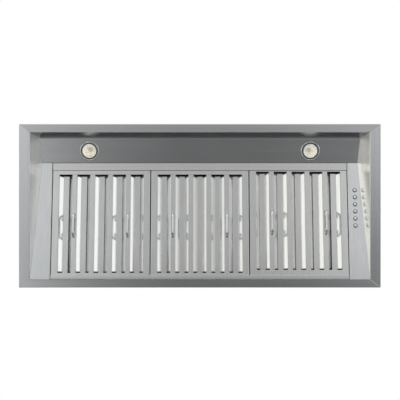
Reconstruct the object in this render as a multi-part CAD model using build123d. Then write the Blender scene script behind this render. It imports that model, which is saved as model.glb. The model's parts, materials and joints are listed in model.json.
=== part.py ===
from build123d import *

import os
from math import acos, atan2, cos, degrees, radians, sin, sqrt, tan

# Range hood insert, seen from below when it hangs in a cabinet.
# X runs along the hood, -Y is its front (the cook's side), Z is up.
# The underside of the rim lies at z = 0. All sizes are in millimetres.

# ---------------------------------------------------------------- driving sizes
hood_length = 1016.0
hood_depth = 460.0
body_height = 262.0
sheet = 1.2
seat_gap = 0.3              # between pieces that lie close but do not touch
bend_radius = 2.0           # visible side of a fold
hem_width = 8.0             # of an edge folded flat onto the sheet's hidden side

# rim: four folded rails with mitred corners
rim_side_face = 29.3
rim_end_face = 23.3
rim_height = 32.0
rim_corner_radius = 2.4
body_setback = 8.0          # from the rim's inner edge out to the body walls

# the sloping ceiling inside the rim
front_wall_run = 12.8
front_wall_rise = 39.6
lamp_panel_run = 72.0
ceiling_height = 50.9       # rear edge of the lamp panel, the highest fold
side_wall_lean = 28.7       # degrees from upright
wall_upstand = 6.0          # the side walls go on above the ceiling by this much
flange = 12.0
side_panel_width = 57.3
guide_proud = 0.5           # the guides beside the filters stand above the filters' backs
holder_strip_width = 21.6
lip_width = 11.6
lip_short = 0.5             # the lip's upstand stays below the filters' backs

# baffle filters
filter_count = 3
filter_spacing = 2.5
filter_thickness = 21.0
filter_sheet = 1.0
filter_side_gap = 1.3       # to the panel guides
filter_end_gap = 0.4        # to the lip's upstand
filter_front_tuck = 6.9     # front end hidden behind the holder strip
filter_back_flange = 10.0
filter_side_margin = 18.9
filter_front_margin = 18.2
filter_end_margin = 17.0
channel_count = 5
bar_width = 14.4
bar_height = 7.0
bar_overlap = 9.0           # bar ends tucked behind the frame's end flange
baffle_sheet = 0.8
baffle_bend = 1.0           # visible side of the folds of bars and troughs
trough_spacing = 8.4        # between the mouths of two troughs, hidden behind a bar
trough_flank_run = 13.8
trough_mouth_depth = 9.0
trough_front_gap = 2.3      # to the slot's front end
trough_rear_gap = 4.6
trough_tab = 10.0           # the floor goes on behind the frame's rear margin
trough_return = 2.5
strap_width = 14.0
loose_filter_shift = 8.4    # the filter on the control side is pushed forward by this

# bail handles
wire_radius = 2.25
wire_fit = 0.12
handle_span = 62.0          # between the middles of the two legs
handle_drop = 13.0          # from the pivot line to the grip's middle
handle_bend = 5.0
handle_stub = 14.0          # turned-in end that the saddle holds
handle_place = 144.8        # from the slots' front end to the handle's middle
saddle_length = 7.0
saddle_wall = 2.0
saddle_foot = 12.6
saddle_foot_sheet = 1.1

# push buttons
button_count = 6
button_pitch = 20.3
button_radius = 3.9
button_stem_radius = 2.6
button_collar_radius = 4.4
button_collar_height = 1.5
button_proud = 2.4
button_chamfer = 0.8
button_stem_reach = 2.0     # beyond the bezel's sleeve
button_travel = 2.0
button_fit = 0.2
bezel_radius = 6.4
bezel_thickness = 1.2
bezel_chamfer = 0.6
bezel_lip = 1.0
bezel_sleeve = 7.0
bezel_sleeve_wall = 0.6
button_inset = 37.7         # from the rim's inner edge
first_button_place = 78.6   # along the slope, from the ceiling's highest fold
control_box_width = 25.6
control_box_height = 34.0
control_box_margin = 22.0

# lamps
lamp_inset = 163.2          # from the rim's inner edge
lamp_off_centre = 1.7       # behind the lamp panel's middle line
lamp_ring_radius = 27.4
lamp_ring_thickness = 2.0
lamp_ring_chamfer = 1.0
lamp_ring_ledge = 1.5       # holds the glass
lamp_ring_sleeve = 18.0
lamp_glass_radius = 21.2
lamp_glass_thickness = 1.6
bulb_depth = 33.0
bulb_waist_radius = 17.4
bulb_waist_height = 14.8
bulb_base_radius = 9.0
socket_height = 16.0
socket_radius = 12.0
socket_chamfer = 2.0
lamp_wall = 1.2

# duct collar and back-draught damper
collar_height = 49.0
collar_radius = 99.0
collar_flange_width = 16.0
damper_height = 13.0        # rod above the top plate
rod_radius = 2.0
rod_fit = 0.15
knuckle_wall = 1.3
knuckle_clearance = 0.5
knuckle_length = 29.0
knuckle_places = (-65.0, 35.0)
flap_sheet = 1.0
flap_edge_gap = 1.5
stop_bead_width = 4.0
stop_bead_height = 1.6

# blower
fan_y = -62.0
wheel_radius = 68.0
wheel_width = 104.0
blade_count = 32
blade_depth = 12.0
blade_sheet = 0.9
blade_lean = 24.0
blade_bow = 2.4
blade_inset = 2.0           # end rings and middle disc stop short of the blades' edges
wheel_ring = 3.0
hub_radius = 10.0
hub_length = 24.0
shaft_radius = 4.0
shaft_fit = 0.1
wheel_side_gap = 10.0
scroll_start_angle = 70.0
scroll_gap = 6.0            # to the wheel where the scroll starts
scroll_growth = 20.0
inlet_lip = 5.0
motor_radius = 38.0
motor_length = 72.0
motor_edge = 6.0
motor_front = 6.0
bracket_sheet = 2.0
bracket_arm_width = 16.0
bracket_foot = 6.0

# electrical boxes
junction_x = 330.0
junction_y = 110.0
junction_length = 110.0
junction_width = 70.0
junction_height = 48.0
cover_lip = 4.0
cable_hole_radius = 11.1
driver_x = -100.0
driver_z = 120.0
driver_length = 120.0
driver_height = 36.0
driver_depth = 24.0

# screws
screw_radius = 2.0
screw_fit = 0.2
screw_head_radius = 4.0
screw_head_height = 2.6
screw_grip = 9.0
top_screws_per_side = 5
top_screw_end = 60.0
mounting_hole_radius = 2.5
mounting_hole_spacing_y = 280.0
mounting_hole_spacing_z = 120.0
mounting_hole_z = 150.0

# ---------------------------------------------------------------- worked-out places
half_length = hood_length / 2
half_depth = hood_depth / 2
inner_x = half_length - rim_side_face
inner_y = half_depth - rim_end_face
body_x = inner_x + body_setback
body_y = inner_y + body_setback
lean = tan(radians(side_wall_lean))
top_of_body = body_height - sheet

lamp_front_y = -inner_y + front_wall_run
ceiling_y = lamp_front_y + lamp_panel_run
panel_end_z = sheet + seat_gap
slope = atan2(ceiling_height - panel_end_z, inner_y - ceiling_y)
side_panel_edge = inner_x - side_panel_width
ceiling = Plane(origin=(0, ceiling_y, ceiling_height), x_dir=(1, 0, 0), z_dir=(0, sin(slope), cos(slope)))
lamp_tilt = atan2(ceiling_height - front_wall_rise, lamp_panel_run)

bank_half_width = side_panel_edge - filter_side_gap
filter_pitch = (2 * bank_half_width + filter_spacing) / filter_count
filter_width = filter_pitch - filter_spacing
filter_front = holder_strip_width - filter_front_tuck
filter_rear = (inner_y - ceiling_y) / cos(slope) - sheet - filter_end_gap
filter_length = filter_rear - filter_front
filter_face = 2 * sheet + seat_gap
filter_back = filter_face + filter_thickness
slot_length = filter_length - filter_front_margin - filter_end_margin
slot_window = filter_width - 2 * filter_side_margin
channel_pitch = (slot_window + bar_width) / channel_count
bar_count = channel_count - 1
trough_mouth = channel_pitch - trough_spacing
trough_floor = trough_mouth - 2 * trough_flank_run
panel_guide = filter_back + guide_proud
lip_upstand = filter_back - lip_short
lip_start_y = inner_y - sheet - lip_width


def ceiling_z(y):
    """Height of the visible side of the sloping panels at a place along Y."""
    return ceiling_height - (y - ceiling_y) * tan(slope)


def bent_sheet(points, thickness, hidden_side, radius=bend_radius):
    """Section of a folded sheet: points follow its visible side, rounded at each fold."""
    line = FilletPolyline(*points, radius=radius)
    return make_face(offset(line, amount=thickness, kind=Kind.INTERSECTION, side=hidden_side))


def hem(start, end):
    """Edge folded flat onto a sloping sheet's hidden side, from the fold's start to its rounded end."""
    middle = end - sheet if end > start else end + sheet
    across = (-bank_half_width, bank_half_width)
    flat = box_at(across, sorted((start, middle)), (0, 2 * sheet))
    fold = Pos(0, middle, sheet) * Rot(0, 90, 0) * Cylinder(sheet, 2 * bank_half_width)
    return ceiling * (flat + fold)


def ring(outer, inner, height):
    """Flat ring standing on its plane."""
    return extrude(Circle(outer) - Circle(inner), height)


def disc(radius, height):
    return extrude(Circle(radius), height)


def box_at(x_range, y_range, z_range):
    """Box between the given lowest and highest places."""
    size = [high - low for low, high in (x_range, y_range, z_range)]
    middle = [(high + low) / 2 for low, high in (x_range, y_range, z_range)]
    return Pos(*middle) * Box(*size)


def save(name, *solids):
    """Write one node, made of one solid or of several like solids."""
    shape = solids[0] if len(solids) == 1 else Compound(children=list(solids))
    export_step(shape, f"parts/{name}.step")


# ---------------------------------------------------------------- rim
def rim_rail(length, face_width):
    """Folded rail along X with its outer wall at -Y, its face at z = 0 and mitred ends."""
    ledge_end = face_width - body_setback - sheet - seat_gap
    section = bent_sheet(
        [(ledge_end, rim_height), (0, rim_height), (0, 0), (face_width, 0)],
        sheet, Side.LEFT, rim_corner_radius,
    )
    return extrude(Plane.YZ * section, length / 2, both=True)


def mitre(length, face_width, other_face_width):
    """Prism that cuts a rail's ends where it meets its neighbours."""
    outline = Polyline(
        (-length / 2, 0), (length / 2, 0),
        (length / 2 - other_face_width, face_width), (other_face_width - length / 2, face_width), close=True,
    )
    return extrude(make_face(outline), rim_height + 1, both=True)


def make_rim():
    long_rail = rim_rail(hood_length, rim_end_face) & mitre(hood_length, rim_end_face, rim_side_face)
    short_rail = rim_rail(hood_depth, rim_side_face) & mitre(hood_depth, rim_side_face, rim_end_face)
    save("rim_front", Pos(0, -half_depth, 0) * long_rail)
    save("rim_back", Pos(0, half_depth, 0) * Rot(0, 0, 180) * long_rail)
    save("rim_left", Pos(-half_length, 0, 0) * Rot(0, 0, -90) * short_rail)
    save("rim_right", Pos(half_length, 0, 0) * Rot(0, 0, 90) * short_rail)


# ---------------------------------------------------------------- sloping lining
def between_side_walls():
    """Space between the visible sides of the two leaning walls."""
    top = ceiling_height + rim_height
    outline = Polyline(
        (-inner_x, 0), (inner_x, 0), (inner_x - lean * top, top), (lean * top - inner_x, top), close=True
    )
    return extrude(Plane.XZ * make_face(outline), half_depth, both=True)


def make_side_wall():
    """Leaning wall on the +X side, cut to the line of the ceiling."""
    top = ceiling_height + rim_height
    section = bent_sheet(
        [(body_x, sheet), (inner_x - lean * sheet, sheet), (inner_x - lean * top, top)], sheet, Side.RIGHT
    )
    wall = extrude(Plane.XZ * section, inner_y, both=True)
    step = wall_upstand
    outline = Polyline(
        (-inner_y, 0), (-inner_y, sheet), (lamp_front_y - 2 * sheet, front_wall_rise + step),
        (ceiling_y, ceiling_height + step), (inner_y, ceiling_z(inner_y) + step), (inner_y, 0), close=True,
    )
    return wall & extrude(Plane.YZ * make_face(outline), half_length, both=True)


def make_lining():
    inside = between_side_walls()
    wall_dy = front_wall_run / sqrt(front_wall_run**2 + front_wall_rise**2)
    wall_dz = front_wall_rise / sqrt(front_wall_run**2 + front_wall_rise**2)
    wall_foot = -inner_y + front_wall_run * sheet / front_wall_rise
    fold_top = (lamp_front_y + flange * wall_dy, front_wall_rise + flange * wall_dz)

    front = bent_sheet([(-body_y, sheet), (wall_foot, sheet), fold_top], sheet, Side.LEFT)
    front_wall = extrude(Plane.YZ * front, inner_x, both=True) & inside
    save("front_wall", front_wall)

    lamp_section = bent_sheet(
        [fold_top, (lamp_front_y, front_wall_rise), (ceiling_y, ceiling_height),
         (ceiling_y, ceiling_height + flange)], sheet, Side.LEFT,
    )
    lamp_panel = extrude(Plane.YZ * lamp_section, inner_x, both=True) & inside
    for side in (-1, 1):
        hole = disc(lamp_ring_radius - lamp_wall, 2 * flange)
        lamp_panel -= lamp_plane(side) * Pos(0, 0, -flange) * hole
    save("lamp_panel", lamp_panel)

    wall = make_side_wall()
    save("right_wall", wall)
    save("left_wall", mirror(wall, Plane.YZ))

    strip_end = ceiling_y + (holder_strip_width - hem_width) * cos(slope)
    strip = bent_sheet(
        [(ceiling_y, ceiling_height + flange), (ceiling_y, ceiling_height),
         (strip_end, ceiling_z(strip_end))], sheet, Side.LEFT,
    )
    strip = extrude(Plane.YZ * strip, bank_half_width, both=True)
    save("holder_strip", strip + hem(holder_strip_width - hem_width, holder_strip_width))

    lip_top_y = inner_y + lip_upstand * sin(slope)
    lip_top_z = ceiling_z(inner_y) + lip_upstand * cos(slope)
    lip_edge = (lip_start_y - ceiling_y) / cos(slope)
    hem_end_y = lip_start_y + hem_width * cos(slope)
    lip = bent_sheet(
        [(hem_end_y, ceiling_z(hem_end_y)), (inner_y, ceiling_z(inner_y)), (lip_top_y, lip_top_z),
         (body_y, lip_top_z)], sheet, Side.LEFT,
    )
    lip = extrude(Plane.YZ * lip, bank_half_width, both=True)
    save("rear_lip", lip + hem(lip_edge + hem_width, lip_edge))

    side_panel = make_side_panel(inside)
    save("left_panel", mirror(side_panel, Plane.YZ))
    for place in button_places():
        side_panel -= place * Pos(0, 0, -1) * disc(sleeve_radius + seat_gap, sheet + 2)
    save("control_panel", side_panel)


def make_side_panel(inside):
    """Panel beside the filters on the +X side, folded up along three edges."""
    floor = bent_sheet(
        [(side_panel_edge, panel_guide), (side_panel_edge, 0), (inner_x, 0)], sheet, Side.LEFT
    )
    panel_length = (inner_y - seat_gap - ceiling_y) / cos(slope)
    panel = extrude(Plane.XZ * floor, -panel_length)
    panel = ceiling * panel
    guide_limit = ceiling * box_at((0, half_length), (sheet * 2, filter_rear), (-1, panel_guide + 1))
    floor_limit = ceiling * box_at((0, half_length), (0, panel_length), (-1, sheet))
    panel = (panel & guide_limit) + (panel & floor_limit)
    front_fold = box_at(
        (side_panel_edge, inner_x), (ceiling_y, ceiling_y + sheet), (ceiling_height, ceiling_height + flange)
    )
    above = inner_x - lean * (ceiling_height + flange) - seat_gap
    front_fold &= box_at((side_panel_edge, above), (ceiling_y, 0), (0, body_height))
    cut_front = box_at((0, half_length), (-half_depth, ceiling_y), (0, body_height))
    return (panel + front_fold - cut_front) & inside


# ---------------------------------------------------------------- body shell
def screw_hole():
    return Cylinder(screw_radius + screw_fit, 8 * sheet)


def top_screw_places():
    """Screws along the two long edges of the top plate."""
    reach = body_x - top_screw_end
    step = 2 * reach / (top_screws_per_side - 1)
    row = [-reach + step * i for i in range(top_screws_per_side)]
    edge = body_y - flange / 2
    return [Pos(x, y, body_height) for x in row for y in (-edge, edge)]


def collar_screw_places():
    reach = collar_radius + collar_flange_width / 2
    return [Rot(0, 0, 45 + 90 * i) * Pos(reach, 0, body_height + sheet) for i in range(4)]


def corner_screw_places():
    """Screws through the front and back walls into the end walls' folded edges."""
    edge = body_x - flange / 2
    heights = [body_height * share for share in (0.25, 0.5, 0.75)]
    front = [Pos(x, -body_y - sheet, z) * Rot(90, 0, 0) for x in (-edge, edge) for z in heights]
    back = [Pos(x, body_y + sheet, z) * Rot(-90, 0, 0) for x in (-edge, edge) for z in heights]
    return front + back


def make_screw():
    """Pan-head sheet screw whose head stands on the plane of its place."""
    profile = Polyline(
        (0, -screw_grip), (screw_radius / 2, -screw_grip), (screw_radius, -screw_grip + screw_radius),
        (screw_radius, 0), (screw_head_radius, 0), (screw_head_radius, screw_head_height / 2),
        (screw_head_radius / 2, screw_head_height), (0, screw_head_height), close=True,
    )
    return revolve(Plane.XZ * make_face(profile), Axis.Z)


def make_body():
    corner_holes = [place * screw_hole() for place in corner_screw_places()]
    top_holes = [place * screw_hole() for place in top_screw_places()]

    fold = top_of_body - sheet
    long_section = bent_sheet([(-body_y, sheet), (-body_y, fold), (flange - body_y, fold)], sheet, Side.LEFT)
    front = extrude(Plane.YZ * long_section, body_x + sheet, both=True)
    notch_x = (body_x - flange - seat_gap, body_x + 2 * sheet)
    corner_notch = box_at(notch_x, (-body_y, 0), (sheet, body_height))
    front -= corner_notch
    front -= mirror(corner_notch, Plane.YZ)
    front -= corner_holes + top_holes
    save("body_front", front)
    save("body_back", Rot(0, 0, 180) * front)

    outside, edge = body_x + sheet, body_x + sheet - flange
    end_section = bent_sheet(
        [(edge, body_y), (outside, body_y), (outside, -body_y), (edge, -body_y)], sheet, Side.RIGHT
    )
    end = Pos(0, 0, sheet) * extrude(end_section, top_of_body - sheet)
    lining_notch = box_at((0, body_x), (-half_depth, half_depth), (0, 2 * sheet + seat_gap))
    end -= lining_notch
    end -= corner_holes
    mounting_hole = Rot(0, 90, 0) * Cylinder(mounting_hole_radius, 4 * sheet)
    for y in (-mounting_hole_spacing_y / 2, mounting_hole_spacing_y / 2):
        for z in (-mounting_hole_spacing_z / 2, mounting_hole_spacing_z / 2):
            end -= Pos(body_x, y, mounting_hole_z + z) * mounting_hole
    save("body_right", end)
    save("body_left", Rot(0, 0, 180) * end)

    reach_x, reach_y = body_x + sheet, body_y + sheet
    top = box_at((-reach_x, reach_x), (-reach_y, reach_y), (top_of_body, body_height))
    top -= Pos(0, 0, body_height) * Cylinder(collar_radius - sheet, 4 * sheet)
    top -= top_holes + [place * screw_hole() for place in collar_screw_places()]
    top -= Pos(junction_x, junction_y, body_height) * Cylinder(cable_hole_radius, 4 * sheet)
    save("top_plate", top)

    screw = make_screw()
    places = top_screw_places() + collar_screw_places() + corner_screw_places()
    save("housing_screws", *[place * screw for place in places])


# ---------------------------------------------------------------- duct collar and damper
rod_z = body_height + damper_height
knuckle_radius = rod_radius + rod_fit + knuckle_wall
bore_radius = collar_radius - sheet
flap_bottom = rod_z - knuckle_radius


def make_collar():
    flange_radius = collar_radius + collar_flange_width
    collar = Pos(0, 0, body_height) * ring(flange_radius, bore_radius, sheet)
    collar += Pos(0, 0, body_height) * ring(collar_radius, bore_radius, collar_height)
    bead_z = flap_bottom - seat_gap - stop_bead_height
    collar += Pos(0, 0, bead_z) * ring(collar_radius, bore_radius - stop_bead_width, stop_bead_height)
    collar -= Pos(0, 0, rod_z) * Rot(0, 90, 0) * Cylinder(rod_radius + rod_fit, 2.2 * collar_radius)
    for place in collar_screw_places():
        collar -= place * screw_hole()
    save("duct_collar", collar)

    rod = Pos(0, 0, rod_z) * Rot(0, 90, 0) * Cylinder(rod_radius, 2 * collar_radius - sheet)
    save("damper_rod", rod)


def make_flap():
    """Half-round flap on the +Y side, with two knuckles rolled round the rod."""
    plate = Pos(0, 0, flap_bottom) * disc(bore_radius - flap_edge_gap, flap_sheet)
    clear = knuckle_radius + knuckle_clearance
    keep = box_at((-collar_radius, collar_radius), (clear, collar_radius), (0, rod_z))
    for x in knuckle_places:
        keep += box_at((x - knuckle_length / 2, x + knuckle_length / 2), (0, clear), (0, rod_z))
    flap = plate & keep
    for x in knuckle_places:
        flap += Pos(x, 0, rod_z) * Rot(0, 90, 0) * Cylinder(knuckle_radius, knuckle_length)
    flap -= Pos(0, 0, rod_z) * Rot(0, 90, 0) * Cylinder(rod_radius + rod_fit, 2 * collar_radius)
    return flap


# ---------------------------------------------------------------- blower
scroll_start_radius = wheel_radius + scroll_gap
inlet_radius = wheel_radius - blade_depth


def scroll_radius(angle):
    share = (angle - scroll_start_angle) / (360 - scroll_start_angle)
    return scroll_start_radius + share * scroll_growth


# the scroll hangs midway between the filters' backs and the top plate
above_fan = scroll_radius(90) + sheet
below_fan = scroll_radius(270) + sheet
filters_top = ceiling_z(fan_y) + filter_back / cos(slope)
fan_z = (filters_top + below_fan + top_of_body - sheet - above_fan) / 2
scroll_outlet_top = fan_z + scroll_start_radius


def scroll_point(angle, extra=0.0):
    reach = scroll_radius(angle) + extra
    return (fan_y + reach * cos(radians(angle)), fan_z + reach * sin(radians(angle)))


def scroll_curve(first_angle, extra):
    count = 13
    step = (360 - first_angle) / (count - 1)
    return Spline(*[scroll_point(first_angle + step * i, extra) for i in range(count)])


scroll_half = wheel_width / 2 + wheel_side_gap
tongue_y = fan_y + scroll_start_radius * cos(radians(scroll_start_angle))
outlet_y = fan_y + scroll_radius(360)
outer_start = degrees(acos((tongue_y - sheet - fan_y) / (scroll_start_radius + sheet)))


def scroll_outline(extra):
    """Closed outline of the scroll's inside, or of its outside when extra is the sheet."""
    curve = scroll_curve(outer_start if extra else scroll_start_angle, extra)
    start, end = curve @ 0, curve @ 1
    right = Line(end, (end.X, scroll_outlet_top))
    top = Line(right @ 1, (start.X, scroll_outlet_top))
    return make_face([curve, right, top, Line(top @ 1, start)])


def make_blower():
    outside = scroll_outline(sheet)
    inside = scroll_outline(0)
    wrapper = extrude(Plane.YZ * (outside - inside), scroll_half, both=True)
    save("scroll_wrapper", wrapper)

    axis = Pos(0, fan_y, fan_z) * Rot(0, 90, 0)
    side = Pos(scroll_half, 0, 0) * extrude(Plane.YZ * outside, sheet)
    side -= axis * Pos(0, 0, scroll_half) * Cylinder(inlet_radius, 4 * sheet)
    lip = Polyline(
        (inlet_radius, -inlet_lip), (inlet_radius + sheet, -inlet_lip),
        (inlet_radius + sheet, sheet), (inlet_radius + inlet_lip, sheet + inlet_lip / 2),
        (inlet_radius + inlet_lip - sheet, sheet + inlet_lip / 2 + sheet / 2),
        (inlet_radius, sheet), close=True,
    )
    bell = revolve(Plane.XZ * make_face(lip), Axis.Z)
    side += axis * Pos(0, 0, scroll_half) * bell
    save("scroll_side_right", side)
    save("scroll_side_left", mirror(side, Plane.YZ))

    save("blower_wheel", *[axis * piece for piece in make_wheel()])

    motor = make_motor()
    save("blower_motor", axis * motor)
    save("motor_bracket", axis * make_bracket())

    save("blower_outlet", hopper(sheet) - hopper(0))


def hopper(wall):
    """Space from the scroll's square mouth to the round hole in the top plate, grown by a wall."""
    mouth = Rectangle(2 * (scroll_half + wall), outlet_y - tongue_y + 2 * wall)
    mouth = Pos(0, (tongue_y + outlet_y) / 2, scroll_outlet_top) * mouth
    round_end = Pos(0, 0, top_of_body) * Circle(bore_radius + wall)
    return loft([mouth.face(), round_end.face()])


def make_wheel():
    """Squirrel-cage wheel and its shaft, along Z."""
    inner = wheel_radius - blade_depth
    face, back = [
        ThreePointArc((0, y), (blade_depth / 2, y + blade_bow), (blade_depth, y)) for y in (0, blade_sheet)
    ]
    section = make_face([face, back, Line(face @ 0, back @ 0), Line(face @ 1, back @ 1)])
    blade = extrude(Rot(0, 0, blade_lean) * section, (wheel_width - wheel_ring) / 2, both=True)
    blades = [Rot(0, 0, 360 / blade_count * i) * Pos(inner, 0, 0) * blade for i in range(blade_count)]
    end_ring = ring(wheel_radius, inner + blade_inset, wheel_ring)
    wheel = Pos(0, 0, wheel_width / 2 - wheel_ring) * end_ring
    wheel += Pos(0, 0, -wheel_width / 2) * end_ring
    wheel += Pos(0, 0, -sheet) * disc(wheel_radius - blade_inset, 2 * sheet)
    wheel += Cylinder(hub_radius, hub_length)
    wheel += blades
    wheel -= Cylinder(shaft_radius + shaft_fit, 2 * hub_length)
    shaft = Pos(0, 0, -hub_length / 2) * disc(shaft_radius, hub_length + 2 * motor_front)
    return [wheel, shaft]


motor_start = hub_length / 2 + motor_front


def make_motor():
    end, shoulder = motor_start + motor_length, motor_radius - motor_edge
    profile = Polyline(
        (0, motor_start), (shoulder, motor_start), (motor_radius, motor_start + motor_edge),
        (motor_radius, end - motor_edge), (shoulder, end), (0, end), close=True,
    )
    motor = revolve(Plane.XZ * make_face(profile), Axis.Z)
    motor -= Pos(0, 0, motor_start) * Cylinder(shaft_radius + rod_fit, 4 * motor_front)
    return motor


def make_bracket():
    """Three-armed bracket that hangs the motor on the right side of the scroll."""
    face = scroll_half + sheet
    plate_z = face + bracket_foot
    reach = (inlet_radius + inlet_lip + scroll_start_radius) / 2
    clamp = ring(motor_radius + 3 * bracket_sheet, motor_radius + seat_gap, bracket_sheet)
    bracket = Pos(0, 0, plate_z) * clamp
    for i in range(3):
        arm = Pos((motor_radius + reach) / 2 + bracket_sheet, 0, plate_z + bracket_sheet / 2) * Box(
            reach - motor_radius, bracket_arm_width, bracket_sheet
        )
        foot = Pos(reach + bracket_sheet / 2, 0, face + bracket_foot / 2) * Box(
            bracket_sheet, bracket_arm_width, bracket_foot
        )
        bracket += Rot(0, 0, 90 + 120 * i) * (arm + foot)
    return bracket


# ---------------------------------------------------------------- electrical boxes
def junction_block(inset, bottom, top):
    """Block as large as the junction box, its four sides set in."""
    reach_x = junction_length / 2 - inset
    reach_y = junction_width / 2 - inset
    x_range = (junction_x - reach_x, junction_x + reach_x)
    return box_at(x_range, (junction_y - reach_y, junction_y + reach_y), (bottom, top))


def make_boxes():
    bottom = top_of_body - junction_height
    box = junction_block(0, bottom, top_of_body)
    box -= junction_block(sheet, bottom - 1, top_of_body - sheet)
    box -= Pos(junction_x, junction_y, top_of_body) * Cylinder(cable_hole_radius, 4 * sheet)
    save("junction_box", box)
    cover = junction_block(0, bottom - sheet, bottom)
    cover += junction_block(sheet + seat_gap, bottom, bottom + cover_lip)
    cover -= junction_block(2 * sheet + seat_gap, bottom, body_height)
    save("junction_cover", cover)

    driver_x_range = (driver_x - driver_length / 2, driver_x + driver_length / 2)
    driver = box_at(driver_x_range, (-body_y, driver_depth - body_y), (driver_z, driver_z + driver_height))
    driver = fillet(driver.edges().filter_by(Axis.X).group_by(Axis.Y)[-1], 3)
    feet_x = (driver_x_range[0] - flange, driver_x_range[1] + flange)
    driver += box_at(feet_x, (-body_y, 2 * sheet - body_y), (driver_z, driver_z + driver_height))
    save("lamp_driver", driver)

    first, last = button_v(0) - control_box_margin, button_v(button_count - 1) + control_box_margin
    x = (side_panel_edge + bend_radius, side_panel_edge + bend_radius + control_box_width)
    box = box_at(x, (first, last), (sheet, sheet + control_box_height))
    cavity_top = button_top + button_travel + seat_gap
    box -= box_at((x[0] + sheet, x[1] - sheet), (first + sheet, last - sheet), (0, cavity_top))
    save("control_box", ceiling * box)


# ---------------------------------------------------------------- push buttons
sleeve_radius = button_collar_radius + button_fit + bezel_sleeve_wall
button_top = bezel_sleeve + button_stem_reach


def button_v(index):
    """Place of a button along the slope of the control panel."""
    return first_button_place + index * button_pitch


def button_places():
    return [ceiling.location * Pos(inner_x - button_inset, button_v(i), 0) for i in range(button_count)]


def make_buttons():
    bezel = Polyline(
        (button_radius + button_fit, -bezel_thickness), (bezel_radius - bezel_chamfer, -bezel_thickness),
        (bezel_radius, -bezel_thickness / 2), (bezel_radius, 0), (sleeve_radius, 0),
        (sleeve_radius, bezel_sleeve), (sleeve_radius - bezel_sleeve_wall, bezel_sleeve),
        (sleeve_radius - bezel_sleeve_wall, bezel_lip), (button_radius + button_fit, bezel_lip), close=True,
    )
    bezel = revolve(Plane.XZ * make_face(bezel), Axis.Z)
    collar_start = bezel_lip + button_fit
    collar_end = collar_start + button_collar_height
    cap = Polyline(
        (0, -button_proud), (button_radius - button_chamfer, -button_proud),
        (button_radius, -button_proud + button_chamfer),
        (button_radius, collar_start), (button_collar_radius, collar_start),
        (button_collar_radius, collar_end), (button_stem_radius, collar_end),
        (button_stem_radius, button_top), (0, button_top), close=True,
    )
    cap = revolve(Plane.XZ * make_face(cap), Axis.Z)
    save("button_bezels", *[place * bezel for place in button_places()])
    for i, place in enumerate(button_places()):
        save(f"button_{i + 1}", place * cap)


# ---------------------------------------------------------------- lamps
def lamp_plane(side):
    """Plane of the lamp panel's visible side at one lamp."""
    setback = lamp_panel_run / 2 + lamp_off_centre
    height = front_wall_rise + setback * tan(lamp_tilt)
    middle = (side * (inner_x - lamp_inset), lamp_front_y + setback, height)
    return Plane(origin=middle, x_dir=(1, 0, 0), z_dir=(0, -sin(lamp_tilt), cos(lamp_tilt)))


def make_lamps():
    sleeve = lamp_ring_radius - lamp_wall - seat_gap
    bore = lamp_glass_radius + seat_gap
    ledge, ledge_top = bore - lamp_ring_ledge, lamp_wall / 2 - lamp_ring_thickness
    trim = Polyline(
        (ledge, -lamp_ring_thickness), (lamp_ring_radius - lamp_ring_chamfer, -lamp_ring_thickness),
        (lamp_ring_radius, lamp_ring_chamfer - lamp_ring_thickness), (lamp_ring_radius, 0), (sleeve, 0),
        (sleeve, lamp_ring_sleeve), (sleeve - lamp_wall, lamp_ring_sleeve), (sleeve - lamp_wall, 0),
        (bore, 0), (bore, ledge_top), (ledge, ledge_top), close=True,
    )
    glass = Pos(0, 0, ledge_top) * disc(lamp_glass_radius, lamp_glass_thickness)
    base = ledge_top + lamp_glass_thickness
    bowl = Pos(0, base) * (bowl_half(0) - bowl_half(lamp_wall))
    bulb = revolve(Plane.XZ * bowl, Axis.Z)
    socket = Pos(0, 0, base + bulb_depth) * disc(socket_radius, socket_height)
    socket = chamfer(socket.edges().group_by(Axis.Z)[-1], socket_chamfer)
    trim = revolve(Plane.XZ * make_face(trim), Axis.Z)
    pieces = {"lamp_trim_rings": trim, "lamp_lenses": glass, "lamp_reflectors": bulb, "lamp_sockets": socket}
    for name, piece in pieces.items():
        save(name, *[lamp_plane(side) * piece for side in (-1, 1)])


def bowl_half(wall):
    """Half section of the reflector's bowl, or of its hollow when a wall is given."""
    mouth, waist, neck = lamp_glass_radius - wall, bulb_waist_radius - wall, bulb_base_radius - wall
    top = bulb_depth - wall
    curve = Spline((mouth, 0), (waist, bulb_waist_height), (neck, top))
    back = Polyline(curve @ 1, (0, top), (0, 0), curve @ 0)
    return make_face([curve, back])


# ---------------------------------------------------------------- filters
def bar_offsets():
    return [channel_pitch * (i - (bar_count - 1) / 2) for i in range(bar_count)]


def trough_offsets():
    return [channel_pitch * (i - (channel_count - 1) / 2) for i in range(channel_count)]


def make_frame():
    """Rim of one filter; its face lies at z = 0 and its front end at y = 0."""
    middle = Pos(0, filter_length / 2, filter_thickness / 2)
    inside = 2 * filter_sheet
    frame = middle * Box(filter_width, filter_length, filter_thickness)
    frame = fillet(frame.edges().filter_by(Axis.Y).group_by(Axis.Z)[0], filter_sheet * 1.5)
    frame -= middle * Box(filter_width - inside, filter_length - inside, filter_thickness - inside)
    window = Box(slot_window, slot_length, 4 * filter_sheet)
    frame -= Pos(0, filter_front_margin + slot_length / 2, 0) * window
    back = 2 * filter_back_flange
    frame -= Pos(0, filter_length / 2, filter_thickness) * Box(
        filter_width - back, filter_length - back, 4 * filter_sheet
    )
    return frame


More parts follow.
